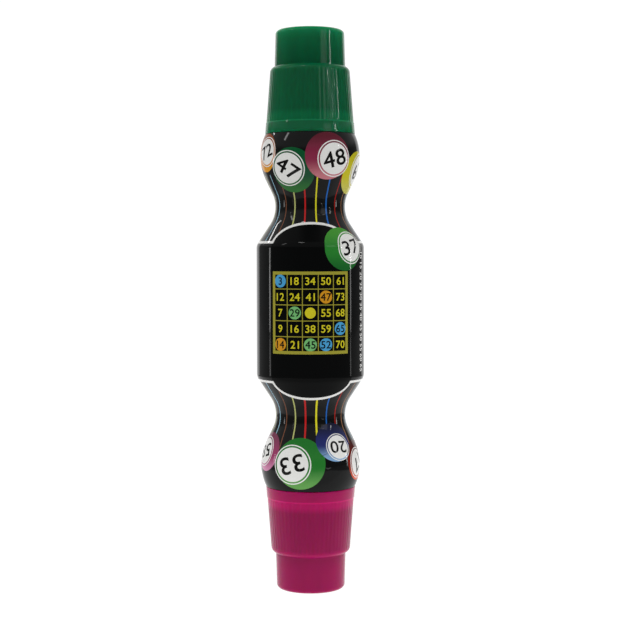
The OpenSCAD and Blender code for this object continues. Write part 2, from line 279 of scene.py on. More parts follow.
# %% [markdown]
# ## Turned pieces
#
# The sleeve, the caps, the cloth covers and the foam pads are all round about
# one axis, so one function turns an outline into a mesh. The angle is measured
# from the front, which faces the camera, towards the right.

# %% A lathe
SHARP_EDGE = math.radians(40)


def smooth_mesh(name, points, faces, finishes, body, slot, which=None):
    """A mesh object with smooth shading that rides on a CAD body."""
    mesh = bpy.data.meshes.new(name)
    mesh.from_pydata([tuple(p) for p in points], [], faces)
    for finish in finishes:
        mesh.materials.append(finish)
    if which is not None:
        mesh.polygons.foreach_set("material_index", which)
    mesh.shade_smooth()
    mesh.set_sharp_from_angle(angle=SHARP_EDGE)
    piece = new_object(name, mesh)
    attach(piece, body)
    return piece


def turned(outline, around, closed=False):
    """Points and faces of (radius, height) points in mm, turned about the axis."""
    points, rings, faces = [], [], []
    turns = [2 * math.pi * k / around for k in range(around)]
    for r, z in outline:
        if r < 1e-6:
            rings.append([len(points)] * around)
            points.append((0.0, 0.0, z * MM))
        else:
            rings.append([len(points) + k for k in range(around)])
            points += [(r * math.sin(a) * MM, -r * math.cos(a) * MM, z * MM) for a in turns]
    for low, high in zip(rings, rings[1:] + rings[:1] if closed else rings[1:]):
        for k in range(around):
            n = (k + 1) % around
            corners = list(dict.fromkeys([low[k], low[n], high[n], high[k]]))
            if len(corners) > 2:
                faces.append(corners)
    return points, faces


def at_end(outline, end):
    """Puts an outline at the green end, or turned over at the magenta end."""
    flipped = [(r, HALF + end * u) for r, u in outline]
    return flipped if end == 1 else flipped[::-1]


# places of the printed layers, in mm from the CAD surface: all lie just inside it
BASE, STRIPE, LINE, BALL, FACE, FIGURE = -0.07, -0.052, -0.045, -0.035, -0.02, -0.008
FILM_T, ROW = 0.05, 0.4
rows = np.arange(-SHOULDER_U, SHOULDER_U + 0.01, ROW)
skin = [(float(radius_at(u)) + BASE, HALF + float(u)) for u in rows]
rim = [(r - FILM_T, z) for r, z in skin[::-1]]
sleeve = smooth_mesh(
    "printed_sleeve", *turned(skin + rim, 288, closed=True), [BLACK], "dauber", "sleeve_black"
)
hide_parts("label_sleeve")
print("sleeve:", len(sleeve.data.polygons), "faces")

# %% [markdown]
# ## Laying a flat print on the film
#
# The artwork is drawn flat, in millimetres, as small shapes: discs, rings,
# ribbons and figures. Laying it on means bending it round the body: the
# distance to the side becomes an angle, and the distance up is walked along
# the outline. Real artwork is drawn wider where the film will shrink, so that
# it comes out true, and this does the same. Each shape is real geometry, a hair
# above the last, which keeps its edge sharp from any distance.

# %% Flat shapes
CUT, RING = 0.7, 0.6  # mm between cuts, which make a flat shape fine enough to bend


def disc(radius, across=0.0, up=0.0, hole=0.0, corners=72):
    """A disc, or a ring round a hole, made of rings of faces."""
    steps = max(2, math.ceil((radius - hole) / RING))
    points = [] if hole else [(across, up)]
    for i in range(0 if hole else 1, steps + 1):
        r = hole + (radius - hole) * i / steps
        for k in range(corners):
            a = 2 * math.pi * k / corners
            points.append((across + r * math.cos(a), up + r * math.sin(a)))
    faces, first = [], 0 if hole else 1
    for i in range(steps if hole else steps - 1):
        for k in range(corners):
            a, b = first + i * corners + k, first + i * corners + (k + 1) % corners
            faces.append((a, a + corners, b + corners, b))
    if not hole:
        faces += [(0, 1 + k, 1 + (k + 1) % corners) for k in range(corners)]
    return np.array(points), faces


def embolden(flat, amount):
    """Moves a flat outline outwards, and its holes inwards, by an amount."""
    moves = {v: [] for v in flat.verts}
    for edge in flat.edges:
        if edge.is_boundary:
            along = edge.verts[1].co - edge.verts[0].co
            side = along.cross((0, 0, 1)).normalized()
            if side.dot(edge.link_faces[0].calc_center_median() - edge.verts[0].co) > 0:
                side.negate()
            for v in edge.verts:
                moves[v].append(side)
    for v, sides in moves.items():
        if len(sides) == 2:
            both = sides[0] + sides[1]
            v.co += both * amount / max(1 + sides[0].dot(sides[1]), 0.5)


def figures(text, height, heavy=0.012, turn=0.0, across=0.0, up=0.0, wide=1.0):
    """Plain figures of that height in mm, turned by degrees and cut so that they can bend."""
    letters = bpy.data.curves.new("figures", "FONT")
    letters.body, letters.resolution_u = text, 6
    letters.space_character = 1.04
    flat = new_object("figures", letters)
    ready = bpy.context.evaluated_depsgraph_get()
    mesh = bpy.data.meshes.new_from_object(flat.evaluated_get(ready))
    cut = bmesh.new()
    cut.from_mesh(mesh)
    bpy.data.objects.remove(flat)
    embolden(cut, heavy)
    low = [min(v.co[i] for v in cut.verts) for i in (0, 1)]
    high = [max(v.co[i] for v in cut.verts) for i in (0, 1)]
    size = height / (high[1] - low[1])
    for v in cut.verts:
        v.co.x = wide * size * (v.co.x - (low[0] + high[0]) / 2)
        v.co.y = size * (v.co.y - (low[1] + high[1]) / 2)
        v.co.z = 0
    for side, reach in ((0, wide * size * (high[0] - low[0]) / 2), (1, height / 2)):
        for step in np.arange(-reach + CUT, reach, CUT):
            normal = (1, 0, 0) if side == 0 else (0, 1, 0)
            every = cut.verts[:] + cut.edges[:] + cut.faces[:]
            place = [step * c for c in normal]
            bmesh.ops.bisect_plane(cut, geom=every, plane_co=place, plane_no=normal)
    bmesh.ops.triangulate(cut, faces=cut.faces[:])
    cut.verts.ensure_lookup_table()
    cut.faces.ensure_lookup_table()
    a = math.radians(turn)
    points = np.array([v.co[:2] for v in cut.verts])
    points = points @ [[math.cos(a), math.sin(a)], [-math.sin(a), math.cos(a)]] + (across, up)
    faces = [tuple(v.index for v in f.verts) for f in cut.faces]
    cut.free()
    return points, faces


print("a figure 8 takes", len(figures("8", 5.0)[1]), "faces")

# %% Bending them round the body
MARGIN = 0.05  # mm of film that stays free at either end


def on_film(points, phi, u, layer):
    """Flat (across, up) points in mm, laid with their middle at angle phi and height u."""
    points = np.asarray(points, float)
    height = height_at(np.clip(way_up(u) + points[:, 1], MARGIN, WAY_UP[-1] - MARGIN))
    radius = radius_at(height)
    angle = math.radians(phi) + points[:, 0] / np.sqrt(radius * radius_at(u))
    radius = radius + layer
    return MM * np.stack([radius * np.sin(angle), -radius * np.cos(angle), HALF + height], axis=1)


def write_map(piece, name, flat):
    """A UV map that gives each of a piece's points its place on the flat sheet."""
    sheet_map = piece.data.uv_layers.new(name=name)
    corners = np.zeros(len(piece.data.loops), np.int32)
    piece.data.loops.foreach_get("vertex_index", corners)
    sheet_map.data.foreach_set("uv", flat[corners].astype(np.float32).ravel())


def lay(name, parts, phi, u, reach):
    """One printed piece. Each part is ((points, faces), layer, finish)."""
    places, faces, which, inks, flat = [], [], [], [], []
    for (points, polygons), layer, finish in parts:
        if finish not in inks:
            inks.append(finish)
        start = sum(len(p) for p in places)
        places.append(on_film(points, phi, u, layer))
        flat.append(np.asarray(points))
        faces += [tuple(start + c for c in face) for face in polygons]
        which += [inks.index(finish)] * len(polygons)
    piece = smooth_mesh(
        name, np.concatenate(places), faces, inks, "dauber", "sleeve_black", which
    )
    # the flat drawing is kept as the UV map: 0.5 is the middle, and reach fills the square
    write_map(piece, "flat", np.concatenate(flat) / reach * 0.5 + 0.5)
    return piece


print("a print laid at the waist is", round(float(radius_at(WAIST_U)), 2), "mm from the axis")

# %% [markdown]
# ## Stripes
#
# Thin coloured lines run up the waist, evenly spaced round the body, from the
# white line of the panel to the numbered balls. Only the eight at the front
# can be seen in the picture, and the same spacing is carried on round the back.
# They are ribbons that follow the outline.

# %% The panel's white outline, which the stripes start from
PANEL_MIDDLES = (2.0, 182.0)
PANEL_HALF = 47.0  # degrees from a panel's middle to its notch
LEVEL_U = 24.45
ARCH_RISE = {1: 6.55, -1: 5.75}
ARCH_POWER = 2.2


def turn_between(a, b):
    """The short way round from angle b to angle a, in degrees."""
    return (a - b + 180) % 360 - 180


def off_middle(phi):
    """How far an angle is from the nearest panel's middle."""
    return min(abs(turn_between(phi, m)) for m in PANEL_MIDDLES)


def panel_edge(phi, end):
    """Height of the white line at an angle, above the middle (end 1) or below it (end -1)."""
    off = off_middle(phi)
    if off >= PANEL_HALF:
        return end * LEVEL_U
    share = (1 - (off / PANEL_HALF) ** ARCH_POWER) ** (1 / ARCH_POWER)
    return end * (LEVEL_U + ARCH_RISE[end] * share)


print("arch of the panel:", panel_edge(2, 1), panel_edge(2, -1))

# %% Ribbons on the film
def ribbon(path, width):
    """Points and faces, in (phi, u), of a ribbon of that width in mm along a path."""
    path = np.asarray(path, float)
    way = way_up(path[:, 1])
    spread = np.gradient(np.radians(path[:, 0])) * radius_at(path[:, 1])
    climb = np.gradient(way)
    length = np.hypot(spread, climb)
    side = np.stack([climb, -spread], axis=1) / length[:, None] * width / 2
    edges = []
    for sign in (-1, 0, 1):
        u = height_at(way + sign * side[:, 1])
        phi = path[:, 0] + np.degrees(sign * side[:, 0] / radius_at(u))
        edges.append(np.stack([phi, u], axis=1))
    n = len(path)
    faces = []
    for e in (0, n):
        faces += [(e + i, e + n + i, e + n + i + 1, e + i + 1) for i in range(n - 1)]
    return np.concatenate(edges), faces


def lay_ribbons(name, ribbons, layer, finish):
    """Ribbons in (phi, u), set down as one piece, at one layer or at one for each point."""
    points, faces = [], []
    for spots, polygons in ribbons:
        start = len(points)
        for (phi, u), lift in zip(spots, np.broadcast_to(layer, len(spots))):
            r, a = float(radius_at(u) + lift), math.radians(phi)
            points.append((r * math.sin(a) * MM, -r * math.cos(a) * MM, (HALF + u) * MM))
        faces += [tuple(start + c for c in face) for face in polygons]
    return smooth_mesh(name, points, faces, [finish], "dauber", "sleeve_black")


# %% [markdown]
# ## Where the balls are
#
# The printed balls lie in a band on each bulge, and one overlaps a corner of
# each panel. Each line gives a ball's middle on the film, its size, where its
# white face sits, the face's number and tilt, and its colour. The picture shows
# the first four of each band and the front panel's one, and the rest carry the
# print on round the back.

# %% Ball list
BALLS = [
    # phi, u, radius, face phi, face u, ring radius, number, tilt, colour
    (-65.5, 55.9, 7.0, -60.5, 56.1, 5.35, "72", 17, "orange"),
    (-22.4, 49.2, 8.15, -27.9, 49.9, 6.4, "47", -35, "green"),
    (21.8, 54.3, 8.5, 29.4, 53.3, 6.5, "48", 16, "magenta"),
    (71.3, 48.6, 7.9, 79.0, 49.6, 6.2, "63", 16, "yellow"),
    (115.0, 55.2, 7.3, 112.0, 55.0, 5.6, "9", -20, "blue"),
    (158.0, 49.6, 8.1, 163.0, 50.6, 6.3, "24", 24, "red"),
    (201.0, 55.0, 7.6, 196.0, 54.2, 5.8, "55", -14, "leaf"),
    (248.0, 49.3, 8.0, 252.0, 50.2, 6.2, "31", 20, "pink"),
    (-66.5, -49.4, 7.1, -71.5, -49.4, 5.5, "58", 196, "pink"),
    (-13.1, -52.6, 9.3, -22.4, -53.0, 7.1, "33", 196, "leaf"),
    (33.3, -45.5, 7.0, 38.3, -47.2, 4.95, "20", 177, "blue"),
    (72.5, -52.6, 7.3, 71.0, -53.6, 5.5, "17", 214, "red"),
    (117.0, -48.2, 7.8, 113.0, -48.8, 6.0, "66", 168, "green"),
    (162.0, -53.4, 8.0, 167.0, -52.8, 6.2, "12", 190, "yellow"),
    (207.0, -48.0, 7.6, 203.0, -48.6, 5.8, "39", 160, "orange"),
    (250.0, -53.6, 7.9, 254.0, -53.2, 6.1, "5", 186, "magenta"),
    (39.3, 22.6, 8.1, 48.5, 22.9, 6.1, "37", 11, "grass"),
    (219.3, 22.6, 8.1, 228.5, 22.9, 6.1, "64", 11, "magenta"),
]
# where a band of balls begins, its middle, and how far a stripe goes under a ball
BAND_FROM, BAND_U, OVERLAP = 40, 48.0, 1.0


def ball_from(phi, end):
    """Height at which a line up the waist ends: just under the first ball, or in the band."""
    way = way_up(end * BAND_U)
    for b_phi, b_u, radius, *_ in BALLS:
        off = math.radians(turn_between(phi, b_phi)) * float(radius_at(b_u))
        if b_u * end > BAND_FROM and abs(off) < radius:
            near = float(way_up(b_u)) - end * math.sqrt(radius**2 - off**2)
            way = min(way * end, (near + OVERLAP * end) * end) * end
    return float(height_at(way))


FIRST_STRIPE = -59.4
print(len(BALLS), "balls; first stripe ends at", round(ball_from(FIRST_STRIPE, 1), 1))

# %% Stripes
STRIPES = {
    # colour, width at the upper waist, width at the lower one
    "light_blue": ("#9ccbe0", 0.4, 0.45),
    "brown": ("#7a4c36", 0.42, 0.45),
    "khaki": ("#c4c97c", 0.5, 0.5),
    "red": ("#cc2424", 0.55, 0.65),
    "yellow": ("#ece42c", 0.52, 0.65),
    "blue": ("#1f6ac4", 0.52, 0.46),
    "dark_red": ("#a81c14", 0.42, 0.48),
    "tan": ("#a07250", 0.38, 0.45),
}
ORDER = list(STRIPES)
STRIPE_COUNT = 21
for name, (colour, top_width, low_width) in STRIPES.items():
    ink = film_ink("film_" + name + "_ink", colour)
    made = []
    for i in range(STRIPE_COUNT):
        # the order doesn't come out even round the body: the last stripe is khaki too
        picked = "khaki" if i == STRIPE_COUNT - 1 else ORDER[i % len(ORDER)]
        if picked != name:
            continue
        phi = FIRST_STRIPE + 360 / STRIPE_COUNT * i
        for end in (1, -1):
            foot, top = panel_edge(phi, end), ball_from(phi, end)
            heights = np.linspace(foot, top, max(3, int(abs(top - foot) / CUT)))
            width = top_width if end == 1 else low_width
            made.append(ribbon([(phi, u) for u in heights], width))
    lay_ribbons("stripes_" + name, made, STRIPE, ink)
print("stripes:", STRIPE_COUNT * 2)

# %% [markdown]
# ## The panel's outline
#
# A white line, 1 mm wide, frames a black panel at the front. It runs level
# round the top and bottom of the barrel and rises in an arch over the panel.
# The arch is a superellipse, which leaves the level line almost straight up and
# then flattens, as the printed one does. The back has the same panel.

# %% White line
LINE_WIDTH, LINE_LAP, ARCH_STEPS, LEVEL_STEPS = 1.0, 1.4, 120, 90


def arch(middle, end):
    path = []
    for i in range(ARCH_STEPS + 1):
        a = math.pi * i / ARCH_STEPS
        off = -math.copysign(abs(math.cos(a)) ** (2 / ARCH_POWER), math.cos(a))
        rise = math.sin(a) ** (2 / ARCH_POWER) if 0 < i < ARCH_STEPS else 0.0
        path.append((middle + PANEL_HALF * off, end * (LEVEL_U + ARCH_RISE[end] * rise)))
    return path


lines = []
for end in (1, -1):
    for middle in PANEL_MIDDLES:
        lines.append(ribbon(arch(middle, end), LINE_WIDTH))
        # the level line goes on to the next panel, and laps a little under both arches
        start, stop = middle + PANEL_HALF - LINE_LAP, middle + 180 - PANEL_HALF + LINE_LAP
        level = [(phi, end * LEVEL_U) for phi in np.linspace(start, stop, LEVEL_STEPS)]
        lines.append(ribbon(level, LINE_WIDTH))
panel_line = lay_ribbons("panel_outline", lines, LINE, WHITE)

# inside the outline, the sleeve itself takes the panel's deeper black
sleeve.data.materials.append(PANEL_BLACK)
for face in sleeve.data.polygons:
    spot = face.center
    phi, u = math.degrees(math.atan2(spot.x, -spot.y)), spot.z / MM - HALF
    if off_middle(phi) < PANEL_HALF and abs(u) < abs(panel_edge(phi, 1 if u > 0 else -1)):
        face.material_index = 1
print("white line:", len(panel_line.data.polygons), "faces")

# %% [markdown]
# ## Numbered balls
#
# Each ball is printed as a disc with a soft gradient, mostly from a dark top to
# a light foot, which makes it look round, and with a white face, a thin white
# ring round it and bold figures. The gradient reads the flat drawing's own height from the UV
# map, so it turns with nothing but the print itself. The numbers are plain
# ones, chosen for this model.

# %% Ball inks
BALL_COLOURS = {
    # top, middle, foot
    "orange": ("#8a3f10", "#c8701c", "#f0a530"),
    "green": ("#0c5a30", "#125434", "#357a38"),
    "magenta": ("#62182a", "#94304f", "#d6828c"),
    "yellow": ("#c8bf20", "#d6cc2c", "#d9d468"),
    "blue": ("#151a38", "#222c70", "#8cb8e4"),
    "red": ("#4a1512", "#8c2418", "#ea5a30"),
    "leaf": ("#1f7a2a", "#2a8030", "#6cae58"),
    "pink": ("#7c3552", "#a2416c", "#d88cb4"),
    "grass": ("#48a034", "#2f8a34", "#1d6a2c"),
}
FOOT_AT, MIDDLE_AT, TOP_AT = 0.02, 0.45, 0.95  # shares of the disc's height


def ball_ink(name, shades):
    """The film's skin over a three-step gradient from the disc's foot to its top."""
    finish = film_ink("film_" + name + "_ball_ink", shades[1])
    tree = finish.node_tree
    drawing = add(tree, "ShaderNodeUVMap", uv_map="flat")
    up = add(tree, "ShaderNodeSeparateXYZ", {0: drawing.outputs["UV"]})
    top, middle, foot = [linear(shade) for shade in shades]
    stops = [(FOOT_AT, foot), (MIDDLE_AT, middle), (TOP_AT, top)]
    ramp = add(tree, "ShaderNodeValToRGB", {"Fac": up.outputs["Y"]}, stops)
    ramp.color_ramp.interpolation = "EASE"
    plain = next(n for n in tree.nodes if n.type == "RGB")
    for link in list(plain.outputs[0].links):
        tree.links.new(ramp.outputs["Color"], link.to_socket)
    tree.nodes.remove(plain)
    return finish


ball_inks = {name: ball_ink(name, shades) for name, shades in BALL_COLOURS.items()}
FACE_WHITE = film_ink("film_face_white_ink", "#fafaf7")
FIGURE_BLACK = film_ink("film_figure_black_ink", "#101010")
print("ball inks:", len(ball_inks))

# %% Balls
FACE_SHARE, RING_SHARE = 0.86, 0.94  # the face, and the ring's inside, in ring radii
NUMBER_SHARE, NUMBER_WIDE = 1.02, 1.15
NUDGE = 0.003  # mm between neighbours that overlap, so that they don't share a surface
for n, (phi, u, radius, face_phi, face_u, ring_r, number, tilt, colour) in enumerate(BALLS):
    across = math.radians(face_phi - phi) * float(radius_at(u))
    up = float(way_up(face_u) - way_up(u))
    lift = NUDGE * (n % 3)
    face_r = FACE_SHARE * ring_r
    size = NUMBER_SHARE * face_r
    text = figures(number, size, turn=tilt, across=across, up=up, wide=NUMBER_WIDE)
    parts = [
        (disc(radius), BALL + lift, ball_inks[colour]),
        (disc(ring_r, across, up, hole=RING_SHARE * ring_r), FACE + lift, FACE_WHITE),
        (disc(face_r, across, up), FACE + lift, FACE_WHITE),
        (text, FIGURE + lift, FIGURE_BLACK),
    ]
    end = "top" if u > BAND_FROM else "low" if u < -BAND_FROM else "panel"
    lay(f"ball_{end}_{number}", parts, phi, u, reach=radius)
print("balls:", len(BALLS))

# %% [markdown]
# ## Numbers on the panel
#
# The middle of the front panel holds a plain card of five by five numbers, the
# kind that a dauber marks, with a blank dot in the middle and a few dabs of
# ink. The olive and yellow inks, with touches of blue, orange and green, keep
# the panel's colours. Small white numbers run down beside each panel.

# %% Card
CELL, FRAME_WIDTH, GRID_WIDTH = 5.5, 1.1, 0.3
DAB_R, DOT_R, NUMBER_H, NUMBER_HEAVY = 2.25, 1.9, 2.7, 0.014
CROSSING = 0.004  # mm between the lines that cross
COLUMNS = [
    ("3", "12", "7", "9", "14"),
    ("18", "24", "29", "16", "21"),
    ("34", "41", "", "38", "45"),
    ("50", "47", "55", "59", "52"),
    ("61", "73", "68", "65", "70"),
]
DABS = {
    # (column, row): ink
    (0, 0): "sky", (3, 1): "amber", (1, 2): "mint", (4, 3): "sky",
    (0, 4): "amber", (2, 4): "mint", (3, 4): "sky",
}
card_inks = {
    "olive": film_ink("film_olive_ink", "#a8a23a"),
    "figure": film_ink("film_card_yellow_ink", "#dfd52a"),
    "sky": film_ink("film_sky_blue_ink", "#4fa9de"),
    "amber": film_ink("film_amber_ink", "#dd9a22"),
    "mint": film_ink("film_mint_ink", "#7cc57a"),
}


def bar(x0, y0, x1, y1, width):
    """A straight flat bar from one point to another, cut so that it can bend."""
    along = np.array([x1 - x0, y1 - y0], float)
    length = float(np.hypot(*along))
    side = np.array([-along[1], along[0]]) / length * width / 2
    steps = max(1, math.ceil(length / CUT))
    spine = [np.array([x0, y0]) + along * i / steps for i in range(steps + 1)]
    points = [p - side for p in spine] + [p + side for p in spine]
    n = steps + 1
    return np.array(points), [(i, i + 1, n + i + 1, n + i) for i in range(steps)]


card, edge = [], 2.5 * CELL
for i in range(6):
    outer = i in (0, 5)
    at, width = (i - 2.5) * CELL, FRAME_WIDTH if outer else GRID_WIDTH
    reach = edge + (FRAME_WIDTH / 2 if outer else 0)
    card.append((bar(at, -edge, at, edge, width), FACE, card_inks["olive"]))
    card.append((bar(-reach, at, reach, at, width), FACE + CROSSING, card_inks["olive"]))
for c, column in enumerate(COLUMNS):
    for r, number in enumerate(column):
        x, y = (c - 2) * CELL, (2 - r) * CELL
        if (c, r) in DABS:
            card.append((disc(DAB_R, x, y), FACE, card_inks[DABS[c, r]]))
        if number:
            ink = FIGURE_BLACK if (c, r) in DABS else card_inks["figure"]
            text = figures(number, NUMBER_H, across=x, up=y, heavy=NUMBER_HEAVY)
            card.append((text, FIGURE, ink))
        else:
            card.append((disc(DOT_R, x, y), FACE, card_inks["figure"]))
number_card = lay("number_card", card, 0.0, 0.0, reach=edge)
print("card:", len(number_card.data.polygons), "faces")

# %% Small figures beside the panels
SIDE_COUNT, SIDE_H, SIDE_STEP, SIDE_TOP, SIDE_REACH = 12, 2.0, 3.6, 19.8, 22.0
side_numbers = [
    (figures(str(5 * (k + 2)), SIDE_H, turn=-90, up=SIDE_TOP - SIDE_STEP * k), FIGURE, FACE_WHITE)
    for k in range(SIDE_COUNT)
]
for phi in (68.0, 248.0):
    lay(f"side_numbers_{phi:.0f}", side_numbers, phi, 0.0, reach=SIDE_REACH)
print("side numbers: 2 rows of", SIDE_COUNT)

# %% [markdown]
# ## Creases in the film
#
# The film shrinks most at the waists, and gathers there into a few short
# creases. They are low ridges of the same black film, pulled tight and so
# glossier, which show as glints.

# %% Creases
CREASES = [
    # (phi, u) of each crease's points
    [(16.5, 38.4), (19.0, 37.5), (22.0, 36.4)],
    [(21.5, 38.3), (19.5, 37.2), (19.0, 36.2)],
    [(31.5, 36.6), (34.0, 35.8), (36.5, 34.6)],
    [(9.0, 34.3), (16.0, 33.7), (24.0, 34.3)],
    [(-29.5, 39.6), (-28.5, 38.4), (-28.6, 37.2)],
    [(-33.0, 34.8), (-32.2, 34.1), (-30.5, 33.6)],
    [(17.5, -37.0), (20.0, -37.7), (23.0, -37.4)],
    [(32.5, -38.4), (34.6, -39.3), (35.0, -40.4)],
    [(10.5, -40.3), (16.5, -40.9), (24.0, -40.6)],
    [(10.5, -50.2), (16.0, -49.6), (23.0, -48.9)],
    [(16.5, -53.8), (20.0, -54.4), (24.5, -54.0)],
    [(-29.0, -38.8), (-28.2, -40.0), (-28.4, -41.2)],
]
CREASE_WIDTH, CREASE_RISE, CREASE_SINK, CREASE_STEPS = 0.36, 0.065, -0.01, 12
share = np.linspace(0, 1, CREASE_STEPS)
knots = np.linspace(0, 1, 3)
ridges = []
for path in np.array(CREASES):
    fine = np.stack([np.interp(share, knots, path[:, i]) for i in (0, 1)], axis=1)
    ridges.append(ribbon(fine, CREASE_WIDTH))
# along its middle, each ridge rises from nothing and fades out again
rise = CREASE_RISE * np.sin(math.pi * share) ** 0.5
side = np.full(CREASE_STEPS, CREASE_SINK)
lay_ribbons("film_creases", ridges, BASE + np.concatenate([side, rise, side]), CREASE_BLACK)
print("creases:", len(CREASES))

# %% [markdown]
# ## Caps
#
# The caps are moulded in translucent polypropylene, a waxy plastic that light
# sinks into. Where the wall is thick, as at the inner bead and the closed end,
# the colour glows; where it is thin over the dark hollow, it looks deeper. The
# shader scatters light under the surface, over a few millimetres, and the skin
# is glossy but softer than the film. That glow and depth are also painted into
# the base colour by height, as painted light and painted shade, with a painted
# highlight line on the band's ledge.
#
# The CAD caps' flutes are cut with a round cutter. The ones in the picture are
# softer, so each cap is turned here from the same sizes, with a shallow wave
# round its skirt.

# %% Polypropylene
# painted light and shade: how much lighter or deeper the wall's colour is painted
# at a height in mm above or below the dauber's middle. The short peak near 66.7
# is a painted highlight line on the band's ledge. Only the upper cap's closed end
# is painted lighter, because it is lit from above
GREEN_PAINTED_LIGHT = [
    (62.8, 1.05), (66.4, 0.95), (66.6, 1.65), (66.9, 1.65), (67.1, 1.15), (69.0, 1.15),
    (71.0, 0.82), (84.0, 0.82), (85.2, 1.0), (86.4, 0.98), (87.2, 0.7), (92.0, 0.84),
    (95.5, 1.05), (96.8, 1.25), (97.8, 1.55), (98.8, 2.0),
]
MAGENTA_PAINTED_LIGHT = [
    (62.8, 1.1), (66.4, 1.15), (66.6, 1.8), (66.9, 1.8), (67.1, 1.4), (68.6, 1.4),
    (70.6, 0.88), (84.0, 0.88), (85.2, 1.1), (86.4, 1.1), (87.2, 0.85), (92.0, 0.95),
    (98.8, 0.95),
]
PAINT_FROM, PAINT_TO = 60, 100  # the stretch that the ramp covers
# flow marks from moulding, long and faint: width and depth in mm
FLOW, FLOW_DEPTH, FLOW_SQUEEZE, FLOW_MOTTLE = 3.846, 0.02, 0.15, 0.1


def polypropylene(name, hex_colour, scatter, painted_light):
    """Moulded translucent plastic: glossy, waxy, and painted lighter where its wall is thick."""
    finish, tree, shader = new_finish(
        name,
        {
            "Roughness": 0.09,
            "IOR": 1.49,
            "Specular IOR Level": 0.17,
            "Subsurface Weight": 1.0,
            "Subsurface Radius": scatter,
            "Subsurface Scale": 2.5 * MM,
            "Subsurface Anisotropy": 0.0,
        },
    )
    place = add(tree, "ShaderNodeTexCoord").outputs["Object"]
    stretched = add(
        tree, "ShaderNodeMapping", {"Vector": place, "Scale": (1.0, 1.0, FLOW_SQUEEZE)}
    )
    flow = add(
        tree,
        "ShaderNodeTexNoise",
        {"Vector": stretched.outputs["Vector"], "Scale": 1 / (FLOW * MM), "Detail": 2.0},
    )
    tint = add(
        tree,
        "ShaderNodeMapRange",
        {"Value": flow.outputs["Fac"], "To Min": 1 - FLOW_MOTTLE, "To Max": 1 + FLOW_MOTTLE},
    )
    # painted light and shade: the colour is painted lighter where the wall is thick,
    # at the bead, the step and the closed end, and deeper where it is thin
    split = add(tree, "ShaderNodeSeparateXYZ", {0: place})
    above = add(
        tree, "ShaderNodeMath", {0: split.outputs["Z"], 1: HALF * MM}, operation="SUBTRACT"
    )
    away = add(tree, "ShaderNodeMath", {0: above.outputs[0]}, operation="ABSOLUTE")
    part = add(
        tree,
        "ShaderNodeMapRange",
        {"Value": away.outputs[0], "From Min": PAINT_FROM * MM, "From Max": PAINT_TO * MM},
    )
    stretch = PAINT_TO - PAINT_FROM
    stops = [((u - PAINT_FROM) / stretch, linear(hex_colour, glow)) for u, glow in painted_light]
    ramp = add(tree, "ShaderNodeValToRGB", {"Fac": part.outputs["Result"]}, stops)
    shaded = add(
        tree,
        "ShaderNodeVectorMath",
        {0: ramp.outputs["Color"], "Scale": tint.outputs["Result"]},
        operation="SCALE",
    )
    tree.links.new(shaded.outputs["Vector"], shader.inputs["Base Color"])
    bump = add(
        tree,
        "ShaderNodeBump",
        {"Height": flow.outputs["Fac"], "Distance": FLOW_DEPTH * MM, "Strength": 1.0},
    )
    tree.links.new(bump.outputs["Normal"], shader.inputs["Normal"])
    return finish


GREEN_PP = polypropylene("green_polypropylene", "#026c42", (0.3, 1.0, 0.5), GREEN_PAINTED_LIGHT)
MAGENTA_PP = polypropylene("magenta_polypropylene", "#a40358", (1.0, 0.3, 0.5), MAGENTA_PAINTED_LIGHT)


def dress(node, finish):
    """Gives a CAD node's own mesh one finish."""
    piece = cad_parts[node]
    piece.data.materials.clear()
    piece.data.materials.append(finish)


# %% Moulded caps
MOUTH_R, MOUTH_U, WALL = 16.0, 62.8, 1.15
BAND_H, BAND_DRAFT, BAND_PROUD, BAND_EDGE = 4.0, 0.067, 0.2, 0.12
SKIRT_DRAFT, STEP_U, STEP_EDGE = 0.077, 86.7, 2.2
SMALL_R, SMALL_DRAFT, END_EDGE, END_T = 12.56, 0.03, 1.5, 1.4
BEAD_R, BEAD_U, BEAD_H, BEAD_RAMP = 13.75, 67.2, 1.8, 0.5
FIN_R, FIN_T, FIN_H, CORNER_FILL, ROOF_FILL = 11.35, 0.7, 1.2, 0.6, 1.0
FLUTES, FLUTE_DEPTH, SLACK = 60, 0.08, 0.01
BAND_TOP_U = MOUTH_U + BAND_H
BAND_TOP_R = MOUTH_R - BAND_DRAFT * BAND_H


def skirt_r(u):
    return BAND_TOP_R - BAND_PROUD - SKIRT_DRAFT * (u - BAND_TOP_U)


def small_r(u):
    return SMALL_R - SMALL_DRAFT * (u - STEP_U)


def rounding(r, u, size, stop, steps):
    """Points of a rounded corner about (r, u), from facing outwards to stop degrees up."""
    turns = np.radians(np.linspace(0, stop, steps))
    return [(r + size * math.cos(a), u + size * math.sin(a)) for a in turns]


